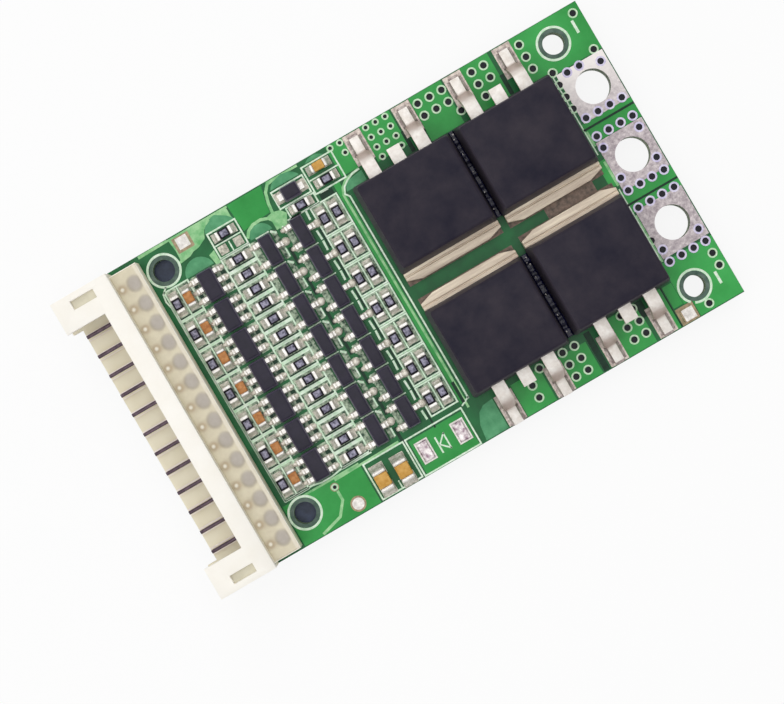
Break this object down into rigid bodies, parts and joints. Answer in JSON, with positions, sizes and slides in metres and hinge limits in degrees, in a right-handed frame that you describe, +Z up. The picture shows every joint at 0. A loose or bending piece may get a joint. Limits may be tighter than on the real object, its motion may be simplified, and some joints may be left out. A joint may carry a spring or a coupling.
{
  "type": "battery management board",
  "caption": "Green battery management board with a side-entry balance header at one end, rows of small cell parts, power transistors with drain tabs and drilled screw terminals at the other.",
  "frame": {"origin": "centre of the four mounting holes, on the board's underside", "axes": "+X along the board from the header end to the terminal end, +Y across the board towards the upper long edge, +Z up out of the component side"},
  "size_m": [0.0539, 0.0302, 0.0082],
  "materials": {
    "solder_mask": "glossy green solder mask over laminate",
    "tinned_pad": "hot-air levelled tin, mottled",
    "ivory_nylon": "satin ivory nylon",
    "tinned_contact": "bright tin plate",
    "solder": "smooth solder",
    "black_epoxy": "fine-grained moulding compound",
    "matte_tin": "matte tin plate",
    "resistor_glaze": "black overglaze",
    "brown_ceramic": "fired ceramic",
    "tan_ceramic": "fired ceramic",
    "metal_end": "tinned nickel end"
  },
  "bodies": {
    "root": {"circuit_board": "solder_mask", "terminal_pads_upper_side": "tinned_pad", "terminal_pads_underside": "tinned_pad", "transistor_pads": "tinned_pad", "component_pads": "tinned_pad", "test_pads": "tinned_pad", "open_diode_pads": "tinned_pad", "via_rings": "tinned_pad", "header_housing": "ivory_nylon", "header_pins": "tinned_contact", "header_solder_joints": "solder", "transistor_1_body": "black_epoxy", "transistor_1_tab": "matte_tin", "transistor_1_leads": "matte_tin", "transistor_2_body": "black_epoxy", "transistor_2_tab": "matte_tin", "transistor_2_leads": "matte_tin", "transistor_3_body": "black_epoxy", "transistor_3_tab": "matte_tin", "transistor_3_leads": "matte_tin", "transistor_4_body": "black_epoxy", "transistor_4_tab": "matte_tin", "transistor_4_leads": "matte_tin", "monitor_chip_bodies": "black_epoxy", "monitor_chip_leads": "tinned_contact", "inner_transistor_bodies": "black_epoxy", "inner_transistor_leads": "tinned_contact", "outer_transistor_bodies": "black_epoxy", "outer_transistor_leads": "tinned_contact", "supply_resistor_bodies": "resistor_glaze", "supply_resistor_ends": "metal_end", "filter_capacitor_bodies": "brown_ceramic", "filter_capacitor_ends": "metal_end", "divider_resistor_bodies": "resistor_glaze", "divider_resistor_ends": "metal_end", "bleed_resistor_bodies": "resistor_glaze", "bleed_resistor_ends": "metal_end", "logic_resistor_bodies": "resistor_glaze", "logic_resistor_ends": "metal_end", "timing_capacitor_body": "brown_ceramic", "timing_capacitor_ends": "metal_end", "clamp_diode_body": "black_epoxy", "clamp_diode_leads": "tinned_contact", "reservoir_capacitor_bodies": "tan_ceramic", "reservoir_capacitor_ends": "metal_end"}
  },
  "joints": []
}
